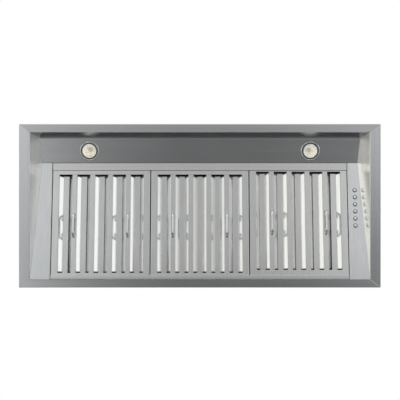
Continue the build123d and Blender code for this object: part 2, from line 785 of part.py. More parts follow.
def make_bars():
    """Front bars of one filter, each with its saddles where a handle hangs."""
    half = bar_width / 2
    section = bent_sheet(
        [(-half, bar_height), (-half, 0), (half, 0), (half, bar_height)],
        baffle_sheet, Side.LEFT, baffle_bend,
    )
    length = slot_length + 2 * bar_overlap
    bar = extrude(Plane.XZ * section, -length)
    start = filter_front_margin - bar_overlap
    bars = [Pos(x, start, filter_sheet) * bar for x in bar_offsets()]
    saddle = make_saddle()
    for x in handle_offsets():
        for place in saddle_places():
            bars.append(Pos(x, place, filter_sheet) * saddle)
    return bars


def handle_offsets():
    return (bar_offsets()[0], bar_offsets()[-1])


def saddle_places():
    middle = filter_front_margin + handle_place
    reach = handle_span / 2 - handle_bend - saddle_length / 2
    return (middle - reach, middle + reach)


saddle_bore = wire_radius + wire_fit
pivot_drop = saddle_bore + saddle_foot_sheet


def make_saddle():
    """Small strap that holds one turned-in handle end under a bar."""
    dome = Pos(0, -pivot_drop) * Circle(saddle_bore + saddle_wall)
    foot = Pos(0, -saddle_foot_sheet / 2) * Rectangle(saddle_foot, saddle_foot_sheet)
    neck = Pos(0, -pivot_drop / 2) * Rectangle(2 * (saddle_bore + saddle_wall), pivot_drop)
    above = Pos(0, saddle_bore + saddle_wall) * Rectangle(saddle_foot * 2, 2 * (saddle_bore + saddle_wall))
    section = dome + foot + neck - above - Pos(0, -pivot_drop) * Circle(saddle_bore)
    return extrude(Plane.XZ * section, saddle_length / 2, both=True)


def make_handle():
    """Wire bail, hanging straight down from its pivot line along Y."""
    half = handle_span / 2
    stub = half - handle_stub
    path = FilletPolyline(
        (0, -stub, 0), (0, -half, 0), (0, -half, -handle_drop),
        (0, half, -handle_drop), (0, half, 0), (0, stub, 0), radius=handle_bend,
    )
    profile = Plane(origin=path @ 0, z_dir=path % 0) * Circle(wire_radius)
    return sweep(profile, path=path)


def make_baffles():
    """Rear troughs of one filter and the two straps that carry them."""
    depth = filter_thickness - 2 * filter_sheet - baffle_sheet
    half_mouth, half_floor = trough_mouth / 2, trough_floor / 2
    section = bent_sheet(
        [(-half_mouth, trough_mouth_depth + trough_return), (-half_mouth, trough_mouth_depth),
         (-half_floor, depth), (half_floor, depth),
         (half_mouth, trough_mouth_depth), (half_mouth, trough_mouth_depth + trough_return)],
        baffle_sheet, Side.LEFT, baffle_bend,
    )
    length = slot_length - trough_front_gap - trough_rear_gap
    trough = extrude(Plane.XZ * section, -length)
    trough += box_at((-half_floor, half_floor), (length, length + trough_tab), (depth, depth + baffle_sheet))
    start = filter_front_margin + trough_front_gap
    pieces = [Pos(x, start, 0) * trough for x in trough_offsets()]
    strap_top = filter_thickness - filter_sheet
    half_width = filter_width / 2 - filter_sheet
    middle = filter_front_margin + handle_place
    for place in (middle - handle_span / 2, middle + handle_span / 2):
        pieces.append(box_at(
            (-half_width, half_width), (place - strap_width / 2, place + strap_width / 2),
            (strap_top - filter_sheet, strap_top),
        ))
    return pieces


def make_filters():
    frame, bars, baffles, handle = make_frame(), make_bars(), make_baffles(), make_handle()
    pivot = Pos(0, filter_front_margin + handle_place, filter_sheet - pivot_drop)
    for i in range(filter_count):
        shift = loose_filter_shift if i == filter_count - 1 else 0
        x = (i - (filter_count - 1) / 2) * filter_pitch
        place = ceiling.location * Pos(x, filter_rear - filter_length - shift, filter_face)
        name = f"filter_{i + 1}"
        save(f"{name}_frame", place * frame)
        save(f"{name}_bars", *[place * piece for piece in bars])
        save(f"{name}_baffles", *[place * piece for piece in baffles])
        for side, offset_x in zip(("left", "right"), handle_offsets()):
            save(f"{name}_handle_{side}", place * Pos(offset_x, 0, 0) * pivot * handle)


os.makedirs("parts", exist_ok=True)
make_rim()
make_lining()
make_body()
make_collar()
save("damper_flap_back", make_flap())
save("damper_flap_front", Rot(0, 0, 180) * make_flap())
make_blower()
make_boxes()
make_buttons()
make_lamps()
make_filters()
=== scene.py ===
import json
import math

import bpy
import numpy as np
from mathutils import Matrix, Vector


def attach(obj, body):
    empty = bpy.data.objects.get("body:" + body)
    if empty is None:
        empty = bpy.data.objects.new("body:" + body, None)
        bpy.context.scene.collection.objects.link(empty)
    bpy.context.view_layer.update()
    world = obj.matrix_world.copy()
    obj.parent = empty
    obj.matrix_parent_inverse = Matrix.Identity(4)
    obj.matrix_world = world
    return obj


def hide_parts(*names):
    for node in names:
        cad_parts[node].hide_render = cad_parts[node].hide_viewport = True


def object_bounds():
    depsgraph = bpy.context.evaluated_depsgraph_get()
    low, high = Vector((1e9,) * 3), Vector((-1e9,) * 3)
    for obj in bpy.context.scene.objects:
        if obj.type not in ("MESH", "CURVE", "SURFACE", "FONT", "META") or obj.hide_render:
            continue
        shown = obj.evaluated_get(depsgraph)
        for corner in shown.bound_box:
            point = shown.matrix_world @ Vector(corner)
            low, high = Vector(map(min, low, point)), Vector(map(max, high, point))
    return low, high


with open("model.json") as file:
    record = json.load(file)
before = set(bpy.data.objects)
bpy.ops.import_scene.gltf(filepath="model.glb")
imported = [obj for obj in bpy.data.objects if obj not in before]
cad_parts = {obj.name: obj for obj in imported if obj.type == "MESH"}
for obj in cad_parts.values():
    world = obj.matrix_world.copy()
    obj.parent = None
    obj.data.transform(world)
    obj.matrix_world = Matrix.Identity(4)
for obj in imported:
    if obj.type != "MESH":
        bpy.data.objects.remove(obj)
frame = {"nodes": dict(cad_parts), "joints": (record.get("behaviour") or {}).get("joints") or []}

# Range hood insert seen from below, the way the cook sees it. X runs along the
# hood, -Y is the cook's side, Z is up. The scene is in metres; the profiles and
# other sizes of the made pieces are in millimetres.

cad_low, cad_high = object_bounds()
nodes = frame["nodes"]
X, Y = 0, 1
mm = 0.001

# ------------------------------------------------------------------ sizes of the set
camera_place = (0.0004, -0.0163, -2.5)
camera_lens = 80.2
room_light = 0.90           # how strongly the room lights what isn't shiny
floor_reach = 3.0
floor_gap = 0.2 * mm        # between the floor's opening and the rim
floor_tone = (0.80, 0.80, 0.80)
card_height = -2.7
card_reach = 14.0
cook_light = (0.53, 0.20, 0.175)    # of the card: its middle, and what its left and right ends add
wall_light = (0.16, 0.20, 0.06)     # the same towards the wall
cook_span = (0.55, -0.75)           # y where the wall's light ends and where the cook's begins
left_end_span = (-0.15, -1.0)       # x where an end begins to add light and where it adds all
right_end_span = (0.3, 0.95)
left_glow = 0.20                    # more light beyond the left end
left_glow_span = (-0.9, -1.2)
right_glow = 0.08                   # and beyond the right end on the cook's side
right_glow_span = (0.85, 1.1)
wall_glows = (0.36, 0.14)           # beyond the left and the right end towards the wall
wall_glow_span = (0.98, 1.16)
band_span = (1.5, 1.9)              # dark band each side, which draws the folds
band_light = 0.03
side_span = (3.0, 3.5)              # white sides, seen in the flanks of the baffles
side_fade_span = (5.2, 7.2)
left_side_lights = (1.35, 1.05)     # of a white side, near and far
right_side_lights = (1.40, 0.75)
change_of_side = (-0.5, 0.5)
side_dim = 0.45                     # of the white sides towards the wall
side_dim_span = (0.4, -0.6)
room_side_light = 1.15              # far behind the cook
room_side_span = (-1.8, -2.8)
far_wall_light = 0.07
far_wall_span = (1.2, 2.6)
cream_span = (-2.5, -3.5)           # x, where the far left side turns cream
plain_light = (0.99, 1.0, 1.0, 1)
cream_light = (1.0, 0.99, 0.95, 1)
key_size = 3.6              # of the soft lamp above the floor
key_power = 34
key_place = Vector((-1.6, -2.0, 2.8))

# ------------------------------------------------------------------ shader maths


class Wire:
    """A shader socket. Python's arithmetic on it adds Math nodes."""

    def __init__(self, bench, socket):
        self.bench = bench
        self.socket = socket

    def __add__(self, other):
        return self.bench.math("ADD", self, other)

    def __radd__(self, other):
        return self.bench.math("ADD", other, self)

    def __sub__(self, other):
        return self.bench.math("SUBTRACT", self, other)

    def __rsub__(self, other):
        return self.bench.math("SUBTRACT", other, self)

    def __mul__(self, other):
        return self.bench.math("MULTIPLY", self, other)

    def __rmul__(self, other):
        return self.bench.math("MULTIPLY", other, self)

    def __abs__(self):
        return self.bench.math("ABSOLUTE", self)


class Bench:
    """A node tree that nodes are added to."""

    def __init__(self, tree):
        self.tree = tree
        tree.nodes.clear()

    def node(self, kind, settings=None, values=None, out=0):
        """Adds a node: its settings first, then the values or wires of its sockets."""
        made = self.tree.nodes.new(kind)
        for name, value in (settings or {}).items():
            setattr(made, name, value)
        for name, value in (values or {}).items():
            if isinstance(value, Wire):
                self.tree.links.new(value.socket, made.inputs[name])
            else:
                made.inputs[name].default_value = value
        return Wire(self, made.outputs[out]) if made.outputs else None

    def math(self, operation, *values):
        return self.node("ShaderNodeMath", {"operation": operation}, dict(enumerate(values)))

    def smooth(self, value, low, high):
        """0 before low, 1 after high and an even curve between; low may be the larger."""
        values = {"Value": value, "From Min": low, "From Max": high}
        return self.node("ShaderNodeMapRange", {"interpolation_type": "SMOOTHSTEP"}, values)

    def blend(self, factor, first, second):
        """Mixes two colours. The node's sockets share their names, so they go by number."""
        values = {0: factor, 6: first, 7: second}
        return self.node("ShaderNodeMix", {"data_type": "RGBA"}, values, out=2)

    def where(self):
        """Object coordinates as one wire."""
        return self.node("ShaderNodeTexCoord", out="Object")

    def place(self):
        """Object coordinates as three wires."""
        split = self.node("ShaderNodeSeparateXYZ", values={0: self.where()})
        return [Wire(self, socket) for socket in split.socket.node.outputs]

    def noise(self, waves, detail, along=None, run=None):
        """Noise from 0 to 1 with so many waves a metre, and fewer along one axis if it's a grain."""
        scale = [waves] * 3
        if along is not None:
            scale[along] = run
        stretched = self.node("ShaderNodeMapping", values={"Vector": self.where(), "Scale": scale})
        values = {"Vector": stretched, "Scale": 1.0, "Detail": detail}
        return self.node("ShaderNodeTexNoise", values=values)


class Finish(Bench):
    """A material under construction."""

    def __init__(self, name):
        self.material = bpy.data.materials.new(name)
        self.material.use_nodes = True
        super().__init__(self.material.node_tree)

    def bump(self, height, depth, fold=0):
        """Surface relief, with the edges shaded as folds of a small radius."""
        values = {"Height": height, "Distance": depth, "Strength": 1.0}
        if fold:
            values["Normal"] = self.node("ShaderNodeBevel", {"samples": 6}, {"Radius": fold})
        return self.node("ShaderNodeBump", values=values)

    def tint(self, level, colour):
        """A colour times a wire that stays between a half and one and a half."""
        dark = tuple(part * 0.5 for part in colour) + (1,)
        light = tuple(part * 1.5 for part in colour) + (1,)
        return self.blend(level - 0.5, dark, light)

    def done(self, **values):
        """Ends the material. A value has the name of its socket, with _ for a space."""
        sockets = {name.replace("_", " "): value for name, value in values.items()}
        shader = self.node("ShaderNodeBsdfPrincipled", values=sockets)
        self.node("ShaderNodeOutputMaterial", values={"Surface": shader})
        return self.material


# ------------------------------------------------------------------ the set
def make_camera():
    """Camera under the hood that looks straight up."""
    data = bpy.data.cameras.new("camera")
    data.lens = camera_lens
    camera = bpy.data.objects.new("camera", data)
    camera.location = camera_place
    camera.rotation_euler = (math.pi, 0, 0)
    bpy.context.scene.collection.objects.link(camera)
    bpy.context.scene.camera = camera


def make_world():
    """White surroundings, a little dimmer for what isn't shiny."""
    world = bpy.data.worlds.new("studio")
    world.use_nodes = True
    bpy.context.scene.world = world
    bench = Bench(world.node_tree)
    rays = bench.node("ShaderNodeLightPath").socket.node.outputs
    white_rays = ("Is Camera Ray", "Is Glossy Ray", "Is Transmission Ray")
    camera, glossy, through = [Wire(bench, rays[name]) for name in white_rays]
    seen = bench.math("MINIMUM", camera + glossy + through, 1.0)
    strength = room_light + seen * (1 - room_light)
    white = bench.node("ShaderNodeBackground", values={"Color": (1, 1, 1, 1), "Strength": strength})
    bench.node("ShaderNodeOutputWorld", values={"Surface": white})


def unselect():
    bpy.ops.object.select_all(action="DESELECT")


def choose(piece):
    """Selects one piece alone and makes it the active one."""
    unselect()
    piece.select_set(True)
    bpy.context.view_layer.objects.active = piece


def edit(piece):
    """Opens one piece alone in edit mode, all of it selected."""
    choose(piece)
    bpy.ops.object.mode_set(mode="EDIT")
    bpy.ops.mesh.select_all(action="SELECT")


def close_edit():
    bpy.ops.object.mode_set(mode="OBJECT")


def floor_finish():
    """Pale floor that is solid from above and open from below."""
    finish = Finish("studio_floor")
    side = finish.node("ShaderNodeNewGeometry", out="Backfacing")
    pale = finish.node("ShaderNodeBsdfDiffuse", values={"Color": floor_tone + (1,)})
    clear = finish.node("ShaderNodeBsdfTransparent")
    both = finish.node("ShaderNodeMixShader", values={0: side, 1: pale, 2: clear})
    finish.node("ShaderNodeOutputMaterial", values={"Surface": both})
    return finish.material


def make_floor():
    """Floor round the rim's underside, open under the hood."""
    unselect()
    bpy.ops.mesh.primitive_plane_add(size=2)
    floor = bpy.context.object
    floor.name = "floor"
    floor.scale = (cad_high.x + floor_gap + floor_reach, cad_high.y + floor_gap + floor_reach, 1)
    bpy.ops.object.transform_apply(scale=True)
    edit(floor)
    bpy.ops.mesh.inset(thickness=floor_reach, depth=0)
    bpy.ops.mesh.delete(type="FACE")
    close_edit()
    floor.data.materials.append(floor_finish())


def faded(first, second, factor):
    """Level that goes from the first to the second as the factor goes from 0 to 1."""
    return first * (1 - factor) + second * factor


def card_finish():
    """Graded light: bright on the cook's side, dim towards the wall, white far out at the sides."""
    finish = Finish("studio_card")
    x, y, _ = finish.place()
    cook = finish.smooth(y, *cook_span)
    left_end = finish.smooth(x, *left_end_span)
    right_end = finish.smooth(x, *right_end_span)
    grade = [wall + (near - wall) * cook for near, wall in zip(cook_light, wall_light)]
    level = grade[0] + grade[1] * left_end + grade[2] * right_end
    level = level + left_glow * finish.smooth(x, *left_glow_span)
    level = level + right_glow * finish.smooth(x, *right_glow_span) * cook
    glow_low, glow_high = wall_glow_span
    wall_glow = wall_glows[0] * finish.smooth(x, -glow_low, -glow_high)
    wall_glow = wall_glow + wall_glows[1] * finish.smooth(x, glow_low, glow_high)
    level = level + wall_glow * (1 - cook)
    level = faded(level, band_light, finish.smooth(abs(x), *band_span))
    fade = finish.smooth(abs(x), *side_fade_span)
    left_side, right_side = [
        near + (far - near) * fade for near, far in (left_side_lights, right_side_lights)
    ]
    side = faded(left_side, right_side, finish.smooth(x, *change_of_side))
    side = side * (side_dim + (1 - side_dim) * finish.smooth(y, *side_dim_span))
    level = faded(level, side, finish.smooth(abs(x), *side_span))
    level = faded(level, room_side_light, finish.smooth(y, *room_side_span))
    level = faded(level, far_wall_light, finish.smooth(y, *far_wall_span))
    colour = finish.blend(finish.smooth(x, *cream_span), plain_light, cream_light)
    light = finish.node("ShaderNodeEmission", values={"Color": colour, "Strength": level})
    finish.node("ShaderNodeOutputMaterial", values={"Surface": light})
    finish.material.cycles.emission_sampling = "NONE"
    return finish.material


def make_card():
    """Large graded card under the camera, which only shiny surfaces show."""
    unselect()
    bpy.ops.mesh.primitive_plane_add(size=2 * card_reach)
    card = bpy.context.object
    card.name = "reflection_card"
    card.data.transform(Matrix.Translation((0, 0, card_height)))
    card.visible_camera = False
    card.visible_diffuse = False
    card.visible_transmission = False
    card.visible_shadow = False
    card.data.materials.append(card_finish())


def make_lights():
    """Large soft lamp above, for a soft shadow on the floor."""
    data = bpy.data.lights.new("soft_key", "AREA")
    data.size = key_size
    data.energy = key_power
    lamp = bpy.data.objects.new("soft_key", data)
    lamp.location = key_place
    lamp.rotation_euler = (-key_place).to_track_quat("-Z", "Y").to_euler()
    bpy.context.scene.collection.objects.link(lamp)


# ------------------------------------------------------------------ finishes
fold_radius = 0.9 * mm              # of the sheet metal's edges
mitre_start = (0.4787, 0.2067)      # inner corner of the rim
mitre_width = 1.3 * mm
mitre_core = 0.4                    # of the width, where the line is full
mitre_shade = 0.03
mitre_painted_highlight = 1.15                  # painted highlight along the mitre at the right end near the wall
painted_highlight_spans = ((0.2, 0.5), (-0.1, 0.2))     # where the painted highlight fades in, over x and y
sheet_waves = 1400                  # across the grain, in waves a metre
rail_waves = 2800
grain_run = 9.0                     # along the grain
streak_waves = 95
streak_run = 1.3
cloud_waves = 5
zinc_cloud_waves = 4
flake_scale = 85.0
speck_waves = 900
peel_waves = 1500
mottle_waves = 30
smear_waves = 70
smudge_waves = 60
glow_patch_waves = 130
faint_relief = 0.01 * mm
peel_relief = 0.02 * mm
bowl_relief = 0.05 * mm


def corner_line(finish):
    """1 along the welded and ground mitres of the rim, 0 elsewhere."""
    x, y, _ = finish.place()
    out_x = abs(x) - mitre_start[X]
    out_y = abs(y) - mitre_start[Y]
    run = (cad_high.x - mitre_start[X], cad_high.y - mitre_start[Y])
    length = math.hypot(*run)
    offset = (out_x * run[Y] - out_y * run[X]) * (1 / length)
    return finish.smooth(abs(offset), mitre_width, mitre_width * mitre_core)


def swing(noise, reach):
    """Noise turned into a value around 0 that is a reach wide."""
    return (noise - 0.5) * reach


def brushed(name, along, tone, roughness, depth, hair=0.10, waves=sheet_waves, mitres=False, metal=1.0):
    """Steel ground along one axis. Hair is how far the grain swings its tone."""
    finish = Finish(name)
    grain = finish.noise(waves, 3, along, grain_run)
    streak = finish.noise(streak_waves, 2, along, streak_run)
    cloud = finish.noise(cloud_waves, 2)
    level = 1 + swing(grain, hair) + swing(streak, 0.16) + swing(cloud, 0.06)
    # Every mitre is drawn a little darker, as a joint; the one at the right end near the wall also gets
    # a painted highlight.
    if mitres:
        x, y, _ = finish.place()
        painted_highlight_mask = finish.smooth(x, *painted_highlight_spans[X]) * finish.smooth(y, *painted_highlight_spans[Y])
        level = level + corner_line(finish) * (painted_highlight_mask * mitre_painted_highlight - mitre_shade)
    return finish.done(
        Base_Color=finish.tint(level, tone),
        Roughness=roughness + swing(grain, 0.06) + swing(cloud, 0.08),
        Metallic=metal,
        Normal=finish.bump(grain, depth, fold_radius),
    )


def galvanised(name, tone):
    """Zinc-coated sheet with its flake pattern."""
    finish = Finish(name)
    values = {"Vector": finish.where(), "Scale": flake_scale, "Smoothness": 0.2, "Randomness": 1.0}
    flakes = finish.node("ShaderNodeTexVoronoi", {"feature": "SMOOTH_F1"}, values, out="Color")
    flake = finish.node("ShaderNodeSeparateColor", values={0: flakes})
    cloud = finish.noise(zinc_cloud_waves, 3)
    speck = finish.noise(speck_waves, 2)
    return finish.done(
        Base_Color=finish.tint(1 + swing(flake, 0.24) + swing(cloud, 0.16), tone),
        Roughness=0.38 + swing(flake, 0.14) + swing(cloud, 0.10),
        Metallic=1.0,
        Normal=finish.bump(speck, faint_relief, fold_radius),
    )


def moulded(name, tone, roughness):
    """Moulded plastic, enamel or ceramic with a faint orange peel."""
    finish = Finish(name)
    peel = finish.noise(peel_waves, 2)
    mottle = finish.noise(mottle_waves, 2)
    return finish.done(
        Base_Color=finish.tint(1 + swing(mottle, 0.14), tone),
        Roughness=roughness + swing(mottle, 0.15),
        Metallic=0.0,
        Normal=finish.bump(peel, peel_relief),
    )


def polished(name, tone, roughness):
    """Turned and plated metal with faint handling marks."""
    finish = Finish(name)
    smear = finish.noise(smear_waves, 3)
    return finish.done(
        Base_Color=finish.tint(1 + swing(smear, 0.12), tone),
        Roughness=roughness + swing(smear, 0.10),
        Metallic=1.0,
        Normal=finish.bump(smear, faint_relief),
    )


def glass(name):
    """Thin clear pane: nearly nothing but its smudged gloss."""
    finish = Finish(name)
    smudge = finish.noise(smudge_waves, 3)
    return finish.done(
        Base_Color=(0.98, 0.99, 0.98, 1),
        Roughness=0.02 + smudge * 0.05,
        Metallic=0.6,
        Alpha=0.05 + smudge * 0.06,
    )


def coated(name, tone, roughness, glow_tone, glow):
    """Bowl of the lamp: a pale mirror coating with a painted glow in patches, for the light of the
    dimmed lamps that it reflects.
    """
    finish = Finish(name)
    glow_patches = finish.noise(glow_patch_waves, 1)
    smear = finish.noise(smudge_waves, 2)
    return finish.done(
        Base_Color=finish.tint(1 + swing(smear, 0.12), tone),
        Roughness=roughness + swing(smear, 0.08),
        Metallic=0.80,
        # Painted glow: the bowl is no lamp, and its patches stand in for lit facets.
        Emission_Color=finish.tint(1 + swing(glow_patches, 4.5), glow_tone),
        Emission_Strength=glow,
        Normal=finish.bump(smear, bowl_relief),
    )


def coat(piece, material):
    """Gives a piece its first finish."""
    if piece.data.materials:
        piece.data.materials.clear()
    piece.data.materials.append(material)


# ------------------------------------------------------------------ modelling
weld = 0.002 * mm           # vertices nearer than this become one
cad_weld = 0.001 * mm


def raised(name, profile, sides, twist=0):
    """Tube about Z through a profile of (radius, height) points in millimetres, left open in edit mode.

    Each ring of points stands a twist, in radians, round from the last.
    """
    radius, height = [value * mm for value in profile[0]]
    unselect()
    bpy.ops.mesh.primitive_circle_add(vertices=sides, radius=radius, location=(0, 0, height))
    piece = bpy.context.object
    piece.name = name
    bpy.ops.object.transform_apply(location=True)
    edit(piece)
    for next_radius, next_height in profile[1:]:
        step = (0, 0, next_height * mm - height)
        bpy.ops.mesh.extrude_region_move(TRANSFORM_OT_translate={"value": step})
        ratio = next_radius * mm / radius
        radius, height = next_radius * mm, next_height * mm
        centre = (0, 0, height)
        bpy.ops.transform.resize(value=(ratio, ratio, 1), center_override=centre)
        if twist:
            bpy.ops.transform.rotate(value=twist, orient_axis="Z", center_override=centre)
    bpy.ops.mesh.select_all(action="SELECT")
    return piece


def turned(name, profile, sides, closed=False):
    """Piece turned about Z. A closed profile ends where it began; any other gets flat ends."""
    piece = raised(name, profile, sides)
    if closed:
        bpy.ops.mesh.remove_doubles(threshold=weld)
    else:
        bpy.ops.mesh.fill_holes(sides=0)
    bpy.ops.mesh.normals_make_consistent(inside=False)
    close_edit()
    return piece


def mark_band(piece, radii, heights):
    """Gives the faces between two radii and two heights, in millimetres, to the second material."""
    for face in piece.data.polygons:
        radius = math.hypot(face.center.x, face.center.y) / mm
        height = face.center.z / mm
        if radii[0] < radius < radii[1] and heights[0] < height < heights[1]:
            face.material_index = 1


def smooth_shade(piece, degrees):
    """Shades a piece smooth, apart from edges that are sharper than so many degrees."""
    choose(piece)
    bpy.ops.object.shade_smooth_by_angle(angle=math.radians(degrees))


def copied(piece, name, place):
    """A copy with its own mesh, set at a place."""
    made = bpy.data.objects.new(name, piece.data.copy())
    made.data.transform(place)
    bpy.context.scene.collection.objects.link(made)
    return made


def discard(piece):
    bpy.data.objects.remove(piece, do_unlink=True)


def loose_parts(node):
    """Merged copies of a CAD node's separate solids."""
    source = copied(nodes[node], node + "_pattern", Matrix.Identity(4))
    edit(source)
    bpy.ops.mesh.remove_doubles(threshold=cad_weld)
    bpy.ops.mesh.separate(type="LOOSE")
    close_edit()
    return list(bpy.context.selected_objects)


def corners(piece):
    """Points of a piece's mesh, one in each row."""
    return np.array([vertex.co for vertex in piece.data.vertices])


def middle(points):
    """Middle of the box round some points."""
    return Vector((points.min(0) + points.max(0)) / 2)


def axes_at(origin, up):
    """Place whose Z runs along up and whose X stays level."""
    z = Vector(up).normalized()
    level = Vector((1, 0, 0)) if abs(z.x) < 0.9 else Vector((0, 1, 0))
    y = z.cross(level).normalized()
    x = y.cross(z)
    return Matrix.Translation(origin) @ Matrix((x, y, z)).transposed().to_4x4()


# ------------------------------------------------------------------ lamps
lens_middle_depth = 0.6     # of the glass, in front of the panel
lamp_ring = [
    (18.9, -1.4), (18.9, -1.7), (19.2, -1.9), (19.8, -1.9), (20.3, -1.6), (20.5, 1.9),
    (23.5, 1.9), (23.9, -1.2), (24.3, -1.75), (24.9, -2.0), (25.7, -2.0), (26.6, -1.7), (27.2, -1.1),
    (27.4, -0.5), (27.4, 0), (25.9, 0), (25.9, 18), (24.7, 18), (24.7, 2.5), (20.1, 2.5), (20.1, -1.4),
    (18.9, -1.4),
]
groove_radii = (20.4, 24.0)
groove_heights = (-2.1, 2.2)
lens_profile = [(19.2, -1.3), (19.8, -0.9), (19.8, 0.0), (19.5, 0.2), (13.0, 0.2), (6.0, 0.2)]
bowl_profile = [
    (19.8, 0.4), (19.5, 3.4), (18.7, 7.5), (17.3, 12.0), (15.4, 17.0), (13.0, 22.0), (10.4, 27.0),
    (7.0, 31.6),
]
bowl_sheet = 0.9
capsule_profile = [(0.3, 12.0), (1.4, 12.3), (2.3, 13.3), (2.8, 15.0), (2.8, 25.0), (3.4, 31.5)]
facet_sides = 26
ring_sides = 96
lens_sides = 64
capsule_sides = 32
turned_edge = 32            # degrees; sharper edges stay sharp
capsule_edge = 50
ring_tone = (0.95, 0.95, 0.94)
# Dark grey in the ring's groove is painted shade, given to the ring's second material.
groove_painted_shade_tone = (0.17, 0.175, 0.165)
bowl_tone = (0.97, 0.975, 0.93)
# Painted glow of the bowl, for the lamp light it reflects.
bowl_painted_glow_tone = (0.88, 0.98, 0.93)
bowl_painted_glow = 0.26
# Peach tone of the capsule: painted warm light of the dimmed lamp, as the capsule gives no light of its
# own here.
capsule_painted_warm_light_tone = (0.95, 0.72, 0.56)


def lamp_places():
    """Places on the panel's visible side, at the middles of the left and the right lamp."""
    glass_points = corners(nodes["lamp_lenses"])
    socket_points = corners(nodes["lamp_sockets"])
    places = []
    for side in (-1, 1):
        pane = middle(glass_points[glass_points[:, X] * side > 0])
        socket = middle(socket_points[socket_points[:, X] * side > 0])
        up = (socket - pane).normalized()
        places.append(axes_at(pane + up * lens_middle_depth * mm, up))
    return places


def make_bowl():
    """Faceted reflector: each ring of facets stands half a facet round from the last."""
    bowl = raised("bowl_pattern", bowl_profile, facet_sides, twist=math.pi / facet_sides)
    bpy.ops.mesh.quads_convert_to_tris()
    bpy.ops.mesh.normals_make_consistent(inside=False)
    close_edit()
    wall = bowl.modifiers.new("wall", "SOLIDIFY")
    wall.thickness = bowl_sheet * mm
    wall.offset = -1
    bpy.ops.object.modifier_apply(modifier=wall.name)
    return bowl


def make_lamps():
    """Ring, glass, bowl and capsule of each lamp."""
    chrome = polished("lamp_ring_chrome", ring_tone, 0.16)
    shadow = polished("lamp_groove_painted_shade", groove_painted_shade_tone, 0.30)
    bright = coated("lamp_bowl_coating_painted_glow", bowl_tone, 0.10, bowl_painted_glow_tone, bowl_painted_glow)
    quartz = moulded("frosted_quartz_painted_warm_light", capsule_painted_warm_light_tone, 0.3)
    ring = turned("ring_pattern", lamp_ring, ring_sides, closed=True)
    lens = turned("lens_pattern", lens_profile, lens_sides)
    capsule = turned("capsule_pattern", capsule_profile, capsule_sides)
    bowl = make_bowl()
    mark_band(ring, groove_radii, groove_heights)
    smooth_shade(ring, turned_edge)
    smooth_shade(lens, turned_edge)
    smooth_shade(capsule, capsule_edge)
    rows = [
        (ring, "lamp_ring", chrome, "lamp_trim_rings", "lamp_chrome"),
        (lens, "lamp_glass", glass("lamp_glass"), "lamp_lenses", "lamp_glass"),
        (bowl, "lamp_bowl", bright, "lamp_reflectors", "reflector_chrome"),
        (capsule, "lamp_capsule", quartz, "lamp_reflectors", "lamp_glass"),
    ]
    for pattern, name, finish, node, slot in rows:
        for side, place in zip(("left", "right"), lamp_places()):
            piece = copied(pattern, f"{name}_{side}", place)
            coat(piece, finish)
            if pattern is ring:
                piece.data.materials.append(shadow)
            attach(piece, "hood")
            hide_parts(node)
        discard(pattern)


# ------------------------------------------------------------------ push buttons
cap_front = -2.4            # height of the cap's front over the panel's visible side
cap_profile = [
    (0.3, -2.3), (1.6, -2.33), (2.6, -2.4), (2.9, -2.38), (3.3, -2.2), (3.7, -1.8), (3.9, -1.3),
    (3.9, 1.2), (4.4, 1.2), (4.4, 2.7), (2.6, 2.7), (2.6, 9.0), (0.3, 9.0),
]
bezel_profile = [
    (4.15, 0.9), (4.15, 0.1), (4.5, -0.35), (5.0, -0.95), (5.4, -1.2), (5.9, -1.15), (6.25, -0.8),
    (6.4, -0.3), (6.4, 0), (5.2, 0), (5.2, 7.0), (4.6, 7.0), (4.6, 0.9), (4.15, 0.9),
]
button_sides = 48
button_edge = 40
button_count = 6
cap_tone = (0.95, 0.95, 0.94)
# The bezels are much darker than the caps.
bezel_tone = (0.42, 0.42, 0.435)
face_depth = 0.05           # how deep a button's foremost points reach


def button_place(number):
    """Place on the panel's visible side, at the middle of a button."""
    joint = next(joint for joint in frame["joints"] if joint["name"] == f"press_{number}")
    up = Vector(joint["axis"]).normalized()
    points = corners(nodes[f"button_{number}"])
    along = points @ np.array(up)
    face = points[along < along.min() + face_depth * mm]
    return axes_at(Vector(face.mean(0)) - up * cap_front * mm, up)


def make_buttons():
    """A cap and a bezel for each push button."""
    cap = turned("cap_pattern", cap_profile, button_sides)
    bezel = turned("bezel_pattern", bezel_profile, button_sides, closed=True)
    smooth_shade(cap, button_edge)
    smooth_shade(bezel, button_edge)
    satin = polished("cap_satin", cap_tone, 0.24)
    dark_bezel_finish = polished("bezel_plating", bezel_tone, 0.24)
    for number in range(1, button_count + 1):
        place = button_place(number)
        piece = copied(cap, f"push_cap_{number}", place)
        coat(piece, satin)
        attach(piece, f"push_button_{number}")
        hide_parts(f"button_{number}")
        piece = copied(bezel, f"push_bezel_{number}", place)
        coat(piece, dark_bezel_finish)
        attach(piece, "hood")
        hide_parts("button_bezels")
    discard(cap)
    discard(bezel)


# ------------------------------------------------------------------ filter handles
slope_along = Vector((0, 0.9888877, -0.1486642))    # down the filters, towards the wall
slope_up = Vector((0, 0.1486642, 0.9888877))
slope_turn = Matrix((Vector((1, 0, 0)), slope_along, slope_up)).transposed().to_4x4()
wire_radius = 2.25
grip_swell = 1.3            # the grip is thicker than the ends by this much
swell_run = 6               # below the pivots, where the full swell is reached
wire_tone = (0.86, 0.865, 0.89)
wire_edge = 50
wire_path = [(-17, 0), (-36.5, 0), (-26.5, -13), (26.5, -13), (36.5, 0), (17, 0)]
wire_bend = 5.0
bend_steps = 6


def rounded(path, reach):
    """A path whose corners are eased over a reach from each corner."""
    points = [Vector(path[0])]
    for before, corner, after in zip(path, path[1:], path[2:]):
        corner = Vector(corner)
        start = corner + (Vector(before) - corner).normalized() * reach
        end = corner + (Vector(after) - corner).normalized() * reach
        for step in range(bend_steps + 1):
            part = step / bend_steps
            points.append(start.lerp(corner, part).lerp(corner.lerp(end, part), part))
    points.append(Vector(path[-1]))
    return points


